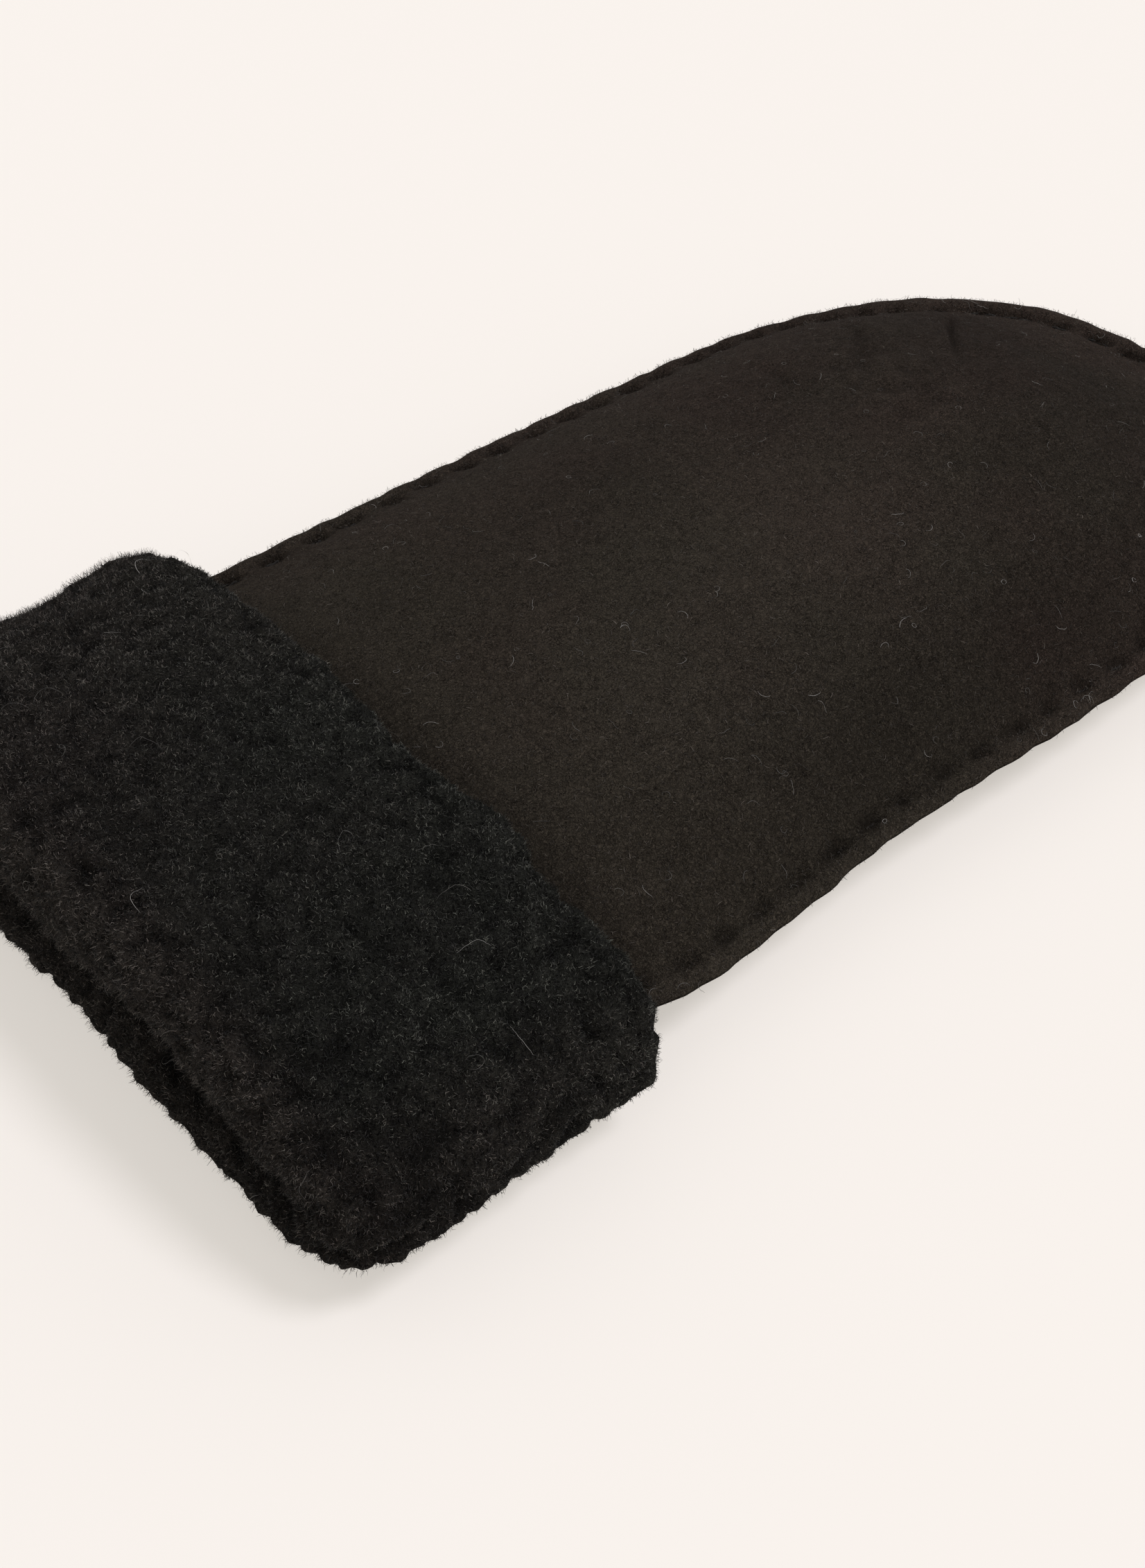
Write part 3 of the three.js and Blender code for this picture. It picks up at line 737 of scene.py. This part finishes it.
def shell(grids):
    """Several grids of closed loops as one set of points, quads and end loops."""
    points, quads, loops, start = [], [], [], 0
    for grid in grids:
        columns, rows = grid.shape[:2]
        points.append(grid.reshape(-1, 3))
        quads.append(grid_quads(columns, rows, False, False) + start)
        loops += [np.arange(rows) + start, (columns - 1) * rows + np.arange(rows)[::-1] + start]
        start += columns * rows
    return np.concatenate(points), np.concatenate(quads), loops


def sample_grid(grid, others, weight, count, rng):
    """Random places on a grid that closes both ways, as many on a quad as its area times its
    weight asks for: the position and the values of other grids, blended between its corners."""
    next_u, next_v = np.roll(grid, -1, 0), np.roll(grid, -1, 1)
    area = np.linalg.norm(np.cross(next_u - grid, next_v - grid), axis=-1) * weight
    share = np.cumsum(area.ravel())
    pick = np.searchsorted(share, rng.uniform(0, share[-1], count))
    i, j = np.unravel_index(np.minimum(pick, area.size - 1), area.shape)
    i2, j2 = (i + 1) % grid.shape[0], (j + 1) % grid.shape[1]
    a, b = rng.uniform(size=(2, count, 1))

    def blended(values):
        near = values[i, j] * (1 - a) + values[i2, j] * a
        return near * (1 - b) + (values[i, j2] * (1 - a) + values[i2, j2] * a) * b

    return [blended(values) for values in (grid, *others)]


def surface_directions(normal):
    """Two directions along the surface, square to each other."""
    first = unit(np.cross(normal, np.array([0.31, 0.17, 0.93])))
    return first, np.cross(normal, first)


def curls(root, normal, rng, radius, turns, reach, lean, heading, segments):
    """Curly fibres: each runs along a coil whose axis lies along the surface, leaning out of it. At
    angle a of its turns a point is some way along the axis in proportion to a, radius * (1 - cos a)
    up and radius * sin a aside."""
    first, second = surface_directions(normal)
    along_surface = first * np.cos(heading)[:, None] + second * np.sin(heading)[:, None]
    axis = unit(along_surface + normal * lean[:, None])
    up = unit(normal - axis * (normal * axis).sum(-1, keepdims=True))
    aside = np.cross(axis, up) * rng.choice([-1, 1], (len(root), 1))
    t = np.linspace(0, 1, segments + 1)[None, :, None]
    angle = 2 * np.pi * turns[:, None, None] * t
    size = radius[:, None, None] * lerp(1, 0.7, t)
    path = root[:, None] + axis[:, None] * reach[:, None, None] * t
    return path + up[:, None] * size * (1 - np.cos(angle)) + aside[:, None] * size * np.sin(angle)


def wandering(root, first, second, rng, step, segments, bend):
    """Stray fibres: a path of equal steps in the plane of two directions, whose heading turns at
    each step by a bend of its own plus a random part."""
    count = len(root)
    turn = rng.normal(0, bend, (count, 1)) + rng.normal(0, bend * 0.7, (count, segments))
    heading = rng.uniform(0, 2 * np.pi, (count, 1)) + np.cumsum(turn, axis=1)
    ahead, aside = np.cos(heading)[..., None], np.sin(heading)[..., None]
    move = ahead * first[:, None] + aside * second[:, None]
    path = np.cumsum(move * step, axis=1)
    return root[:, None] + np.concatenate([np.zeros((count, 1, 3)), path], axis=1)


def pile_fibres(ring, normals, tuft_heights, weight, rng):
    """Curly fibres on the cuff, with their tone and warmth. Most lie down, in clumps that share a
    heading, and some stand out, more along the far side and the lips. A fibre is as light as its
    tuft is high, painted shade in the pits between tufts, with painted self-shadow as noise 0.45
    and
    1.3 mm wide along it, times the fleece's painted light and shade. Its warmth is partly painted
    rim light."""
    count = PILE_FIBRES
    root, normal, tuft = sample_grid(ring, (normals, tuft_heights[..., None]), weight, count, rng)
    normal = unit(normal)
    _, own = tufts(root, 2.2, 61)
    heading = 2 * np.pi * own + rng.normal(0, 1.1, count)
    radius = rng.uniform(0.13, 0.38, count)
    turns = rng.uniform(0.35, 0.75, count)
    edge = np.maximum(smooth_step(50, 62, root[:, 1]), 0.6 * smooth_step(-117, -125, root[:, 0]))
    standing = rng.uniform(size=count) < 0.15 + 0.2 * edge
    reach = rng.uniform(0.2, 0.8, count) + (0.3 + 0.5 * edge) * standing
    lean = rng.uniform(-0.1, 0.8, count) + 1.2 * standing
    sunk = root - 0.15 * normal
    paths = curls(sunk, normal, rng, radius, turns, reach, lean, heading, PILE_SEGMENTS)
    width = rng.uniform(0.07, 0.14, count) * np.where(standing, 0.6, 1)
    points, quads = ribbons(paths, normal, width, rng)
    tone = rng.gamma(0.75, 0.25, count) + 0.03 * own
    # Painted shade in the pits between tufts, painted self-shadow as noise along each fibre, and
    # the fleece's painted light and shade
    tone = tone * lerp(0.2 - 0.1 * edge, 1.25, tuft[:, 0])
    shade = 1 + 1.7 * soft_noise(paths, 0.45, 62) + 0.5 * soft_noise(paths, 1.3, 63)
    tone = np.clip(tone[:, None] * fleece_painted_light(paths) * shade, 0, 0.6)
    warm = fleece_warmth_and_rim_light(root) + rng.normal(0, 0.25, count)
    corners = 2 * (PILE_SEGMENTS + 1)
    return points, quads, {"tone": np.repeat(tone.ravel(), 2), "warm": np.repeat(warm, corners)}


def nap_fibres(skin, normals, weight, rng):
    """Short curled fibres in the suede's nap, with their tone, random times the suede's painted
    light and shade. On the ridge they stand out.
    """
    count = NAP_FIBRES
    on_ridge = np.zeros(skin.shape[:2])
    on_ridge[:, DOME_ROWS:] = 1
    root, normal, ridge = sample_grid(skin, (normals, on_ridge[..., None]), weight, count, rng)
    normal, ridge = unit(normal), ridge[:, 0]
    radius = rng.uniform(0.03, 0.16, count)
    turns = rng.uniform(0.3, 0.9, count)
    reach = rng.uniform(0.3, 1.0, count)
    lean = rng.uniform(0.0, 0.3, count) + rng.uniform(0, 1.2, count) * ridge
    heading = rng.uniform(0, 2 * np.pi, count)
    raised = root + 0.02 * normal
    paths = curls(raised, normal, rng, radius, turns, reach, lean, heading, NAP_SEGMENTS)
    points, quads = ribbons(paths, normal, rng.uniform(0.04, 0.09, count), rng)
    # Each fibre's tone is random times the suede's painted light and shade
    tone = np.clip(rng.gamma(1.3, 0.17, count) * suede_painted_light_and_tone(root), 0, 1)
    return points, quads, {"tone": np.repeat(tone, 2 * (NAP_SEGMENTS + 1))}


def stray_fibres(grid, normals, weight, rng, count, step, segments, lift):
    """Loose pale fibres that lie over a surface, each wandering in the plane it touches, with their
    tone."""
    root, normal = sample_grid(grid, (normals,), weight, count, rng)
    normal = unit(normal)
    paths = wandering(root, *surface_directions(normal), rng, step, segments, 0.35)
    rise = lift * (0.4 + np.sin(np.pi * np.linspace(0, 1, segments + 1)))
    paths = paths + normal[:, None] * rise[None, :, None]
    points, quads = ribbons(paths, normal, rng.uniform(0.04, 0.06, count), rng)
    tone = rng.uniform(0, 1, count) ** 2
    return points, quads, {"tone": np.repeat(tone, 2 * (segments + 1))}


def ribbons(paths, facing, width, rng):
    """Flat ribbons along paths: at each point half the width to either side, across the path and
    across a direction near the surface's own, narrowing to a third at the tip."""
    count, points = paths.shape[:2]
    tangent = np.gradient(paths, axis=1)
    facing = unit(facing + rng.normal(0, 0.35, facing.shape))[:, None]
    across = unit(np.cross(tangent, facing))
    taper = np.interp(np.linspace(0, 1, points), [0, 0.2, 0.75, 1], [0.7, 1, 0.9, 0.35])
    half = across * taper[None, :, None] * width[:, None, None] / 2
    corners = np.stack([paths - half, paths + half], axis=2)
    corners[..., 2] = np.maximum(corners[..., 2], 0.03)
    first = (np.arange(count)[:, None] * points + np.arange(points - 1)[None]) * 2
    quads = np.stack([first, first + 1, first + 3, first + 2], -1).reshape(-1, 4)
    return corners.reshape(-1, 3), quads


# Finishes

class Value:
    """A number that varies over a surface. Its operators add Math nodes."""

    def __init__(self, finish, socket):
        self.finish, self.socket = finish, socket

    def maths(self, operation, first, second):
        return self.finish.node("ShaderNodeMath", {"operation": operation}, {0: first, 1: second})

    def __add__(self, other):
        return self.maths("ADD", self, other)

    def __sub__(self, other):
        return self.maths("SUBTRACT", self, other)

    def __rsub__(self, other):
        return self.maths("SUBTRACT", other, self)

    def __mul__(self, other):
        return self.maths("MULTIPLY", self, other)

    __radd__ = __add__
    __rmul__ = __mul__


class Finish:
    """A material of one Principled BSDF, with its fixed numbers set on the shader's own sockets."""

    def __init__(self, name, fixed):
        self.material = bpy.data.materials.new(name)
        self.material.use_nodes = True
        self.tree = self.material.node_tree
        self.shader = self.tree.nodes["Principled BSDF"]
        for socket, value in fixed.items():
            self.shader.inputs[socket].default_value = value

    def node(self, kind, settings, inputs, output=0):
        """Adds a node: its settings first, then the values or links of its sockets."""
        node = self.tree.nodes.new(kind)
        for key, value in settings.items():
            setattr(node, key, value)
        for key, value in inputs.items():
            if isinstance(value, Value):
                self.tree.links.new(value.socket, node.inputs[key])
            else:
                node.inputs[key].default_value = value
        return Value(self, node.outputs[output])

    def field(self, name):
        """A field of the mesh, a number a point."""
        return self.node("ShaderNodeAttribute", {"attribute_name": name}, {}, "Fac")

    def place(self):
        return self.node("ShaderNodeTexCoord", {}, {}, "Object")

    def noise(self, size_mm, detail=2.0, roughness=0.5, distortion=0.0):
        """Noise about 0, from about -1 to 1, with features of a size in millimetres."""
        inputs = {"Vector": self.place(), "Scale": 1000 / size_mm, "Detail": detail}
        inputs |= {"Roughness": roughness, "Distortion": distortion}
        return (self.node("ShaderNodeTexNoise", {}, inputs) - 0.5) * 3

    def mix(self, share, first, second):
        """A colour between two."""
        settings = {"data_type": "RGBA"}
        return self.node("ShaderNodeMix", settings, {0: share, 6: first, 7: second}, 2)

    def feed(self, socket, value):
        self.tree.links.new(value.socket, self.shader.inputs[socket])

    def bump(self, height, distance_mm, strength=1.0):
        inputs = {"Height": height, "Distance": distance_mm * MM, "Strength": strength}
        self.feed("Normal", self.node("ShaderNodeBump", {}, inputs))


def suede_finish(name):
    """Napped suede: a felted mottle of 2.6 mm and a nap of 0.44 mm, with more light specks than
    dark ones, raise the surface and, times the mesh's tone, which carries painted light and shade,
    move the colour between dark and light brown. The light brown is redder where the mesh says."""
    finish = Finish(name, {"Roughness": 1.0, "Specular IOR Level": 0.04})
    tone = finish.field("tone")
    lit = finish.mix(finish.field("warm"), (0.0650, 0.0545, 0.0415, 1), (0.0690, 0.0515, 0.0415, 1))
    mottle = finish.noise(2.6, 3, 0.6, 0.6)
    nap = finish.noise(0.44, 2, 0.75, 1.6)
    # The tone carries painted light and shade
    light = (mottle * 0.18 + nap * nap * 0.55 + nap * 0.95 + 0.505) * tone
    finish.feed("Base Color", finish.mix(light, (0.0045, 0.0034, 0.0025, 1), lit))
    finish.bump(mottle * 0.4 + nap * 0.6, 0.45, 1.0)
    return finish.material


def fleece_finish(name):
    """The mat of the fleece between its fibres: near black, grained at 0.8 and 0.35 mm, times the
    mesh's tone, which on the cuff paints shade in the pits between its tufts and the fleece's
    painted light and shade, and browner where the mesh says, on the cuff's sides and lips as a
    painted rim light."""
    finish = Finish(name, {"Roughness": 1.0, "Specular IOR Level": 0.05})
    tuft, warm = finish.field("tone"), finish.field("warm")
    grain = finish.noise(0.8, 2, 0.6, 1.0) * 0.45 + finish.noise(0.35, 2, 0.7, 1.5) * 0.6
    # The tone paints shade in the pits between tufts and the fleece's painted light and shade over
    # the cuff
    light = (grain + 0.42) * (tuft * 0.9 + 0.25)
    lit = finish.mix(warm, (0.0400, 0.0410, 0.0345, 1), (0.0450, 0.0385, 0.0330, 1))
    finish.feed("Base Color", finish.mix(light, (0.0018, 0.0017, 0.0016, 1), lit))
    finish.bump(grain, 0.4)
    return finish.material


def pile_finish(name):
    """Fleece fibres: each from near black to grey by its tone, which carries painted light and
    shade, or to brown by its warmth, which on the sides and lips is painted rim light.
    """
    finish = Finish(name, {"Roughness": 0.8, "Specular IOR Level": 0.3})
    lit = finish.mix(finish.field("warm"), (0.1660, 0.1705, 0.1420, 1), (0.1860, 0.1585, 0.1370, 1))
    tone = finish.field("tone")
    finish.feed("Base Color", finish.mix(tone, (0.0022, 0.0021, 0.0019, 1), lit))
    return finish.material


def fibre_finish(name, dark, light, roughness):
    """Fibres that each take a colour between two from their own tone."""
    finish = Finish(name, {"Roughness": roughness, "Specular IOR Level": 0.3})
    finish.feed("Base Color", finish.mix(finish.field("tone"), dark, light))
    return finish.material


def thread_finish():
    """Waxed thread: dark brown with a lighter twist."""
    finish = Finish("waxed thread", {"Roughness": 0.75, "Specular IOR Level": 0.3})
    light = finish.noise(0.5, 1) * 0.4 + 0.5
    finish.feed("Base Color", finish.mix(light, (0.006, 0.005, 0.004, 1), (0.020, 0.017, 0.014, 1)))
    finish.bump(finish.noise(0.3, 1), 0.1)
    return finish.material


def table_finish():
    """A pale, even table top, lit from within as well so that shadows on it stay faint."""
    glow = {"Emission Color": (0.5085, 0.4795, 0.4422, 1), "Emission Strength": 1.0}
    finish = Finish("pale table", {"Roughness": 0.9, "Specular IOR Level": 0.0} | glow)
    light = finish.noise(60, 1) * 0.02 + 0.5
    finish.feed("Base Color", finish.mix(light, (0.470, 0.447, 0.427, 1), (0.480, 0.457, 0.437, 1)))
    return finish.material


# The pieces

suede = suede_finish("napped suede")
fleece = fleece_finish("fleece mat")
pile = pile_finish("fleece fibres")
nap = fibre_finish("suede nap fibres", (0.012, 0.0095, 0.0075, 1), (0.13, 0.112, 0.094, 1), 0.85)
pale = fibre_finish("pale stray fibres", (0.07, 0.066, 0.061, 1), (0.36, 0.345, 0.32, 1), 0.7)

# The tones carry the suede's painted light and shade, with painted shade in the stitch pits
back, back_tone = panel_grid(back_height, 1, SEAM_SEED, BACK_COLUMNS)
palm, palm_tone = panel_grid(palm_height, -1, SEAM_SEED, PALM_COLUMNS)
for name, grid, tone, node in (
    ("suede_back", back, back_tone, "back_panel"),
    ("suede_palm", palm, palm_tone, "palm_panel"),
):
    points, quads, loops = shell([grid])
    warm = suede_warmth(points)
    new_piece(name, points, quads, suede, "suede", [node], loops, tone=tone.ravel(), warm=warm)

thumb = thumb_grid()
thumb_quads = grid_quads(*thumb.shape[:2], True, False)
tone, warm = suede_painted_light_and_tone(thumb).ravel(), suede_warmth(thumb).ravel()
new_piece("suede_thumb", thumb, thumb_quads, suede, "suede", ["thumb_pouch"], tone=tone, warm=warm)

points, quads, loops = shell([lining_grid(1), lining_grid(-1)])
tone, warm = np.full(len(points), 0.8), np.full(len(points), 0.5)
new_piece("fleece_lining", points, quads, fleece, "fleece", (), loops, tone=tone, warm=warm)

ring, ring_normal, ring_shown, ring_tufts = cuff_grid()
ring_quads = grid_quads(*ring.shape[:2], True, True)
cuff_nodes = ["cuff_back", "cuff_palm"]
# The cuff's tone: painted shade in the pits between tufts times the fleece's painted light and
# shade; its warmth is partly painted rim light
tone, warm = (ring_tufts * fleece_painted_light(ring)).ravel(), fleece_warmth_and_rim_light(ring).ravel()
new_piece("fleece_cuff", ring, ring_quads, fleece, "fleece", cuff_nodes, tone=tone, warm=warm)

points, quads = stitch_thread()
new_piece("seam_stitches", points, quads, thread_finish(), "suede", closed=False)

# The curly pile, in pieces, sparse underneath, where it doesn't show
rng = np.random.default_rng(7)
weight = ring_shown * np.where(ring_normal[..., 2] > -0.45, 1.0, 0.25)
for part in range(PILE_PIECES):
    points, quads, fields = pile_fibres(ring, ring_normal, ring_tufts, weight, rng)
    new_piece(f"cuff_pile_{part + 1}", points, quads, pile, "fleece", closed=False, **fields)

# The suede's nap beyond the cuff, denser along the ridge, and none at the skin's open ends
skin = back[:, : DOME_ROWS + RIDGE_ROWS]
skin_normal = grid_normals(skin)
skin_normal = skin_normal * np.sign(skin_normal[:, BACK_OUTER_ROW, 2].mean())
weight = np.ones(skin.shape[:2])
weight[:, DOME_ROWS:] = 3
weight[-1], weight[:, -1], weight[:, 0] = 0, 0, 0
weight = weight * (skin[..., 0] > CUFF_EDGE_X - 2)
points, quads, fields = nap_fibres(skin, skin_normal, weight, rng)
new_piece("suede_nap", points, quads, nap, "suede", closed=False, **fields)

outside = ring_shown * (ring_normal[..., 2] > 0)
for name, surface, settings, slot in (
    ("cuff_strays", (ring, ring_normal, outside), CUFF_STRAYS, "fleece"),
    ("suede_strays", (skin, skin_normal, weight), SUEDE_STRAYS, "suede"),
):
    points, quads, fields = stray_fibres(*surface, rng, **settings)
    new_piece(name, points, quads, pale, slot, closed=False, **fields)


# Table, light and camera

corners = np.array([[-1, -1, 0], [1, -1, 0], [1, 1, 0], [-1, 1, 0]]) * TABLE_SIZE / 2
mesh = bpy.data.meshes.new("table")
mesh.from_pydata(corners - [0, 0, 0.0002], [], [(0, 1, 2, 3)])
mesh.materials.append(table_finish())
table = new_object("table", mesh)

world = bpy.data.worlds.new("studio")
bpy.context.scene.world = world
world.use_nodes = True
background = world.node_tree.nodes["Background"].inputs
background["Color"].default_value = (1.0, 0.99, 0.98, 1)
background["Strength"].default_value = 0.45

for name, toward, strength, spread, colour in (
    ("key", (0.36, -0.44, 1.0), 1.42, 0.3, (0.985, 0.975, 1.05)),
    ("fill", (-0.55, -0.75, 0.75), 0.5, 1.2, (1.0, 0.985, 0.965)),
):
    light = bpy.data.lights.new(name, "SUN")
    light.energy = strength
    light.angle = spread
    light.color = colour
    lamp = new_object(name, light)
    lamp.rotation_euler = Vector(toward).to_track_quat("Z", "Y").to_euler()

camera_data = bpy.data.cameras.new("camera")
camera_data.lens = 48.94
camera_data.sensor_width = 36
camera_data.clip_start = 0.01
camera = new_object("camera", camera_data)
camera.location = (-0.20808, -0.20200, 0.24846)
camera.rotation_euler = Vector((0.4822, 0.5421, -0.6883)).to_track_quat("-Z", "Y").to_euler()
bpy.context.scene.camera = camera
bpy.context.scene.view_settings.view_transform = "Standard"
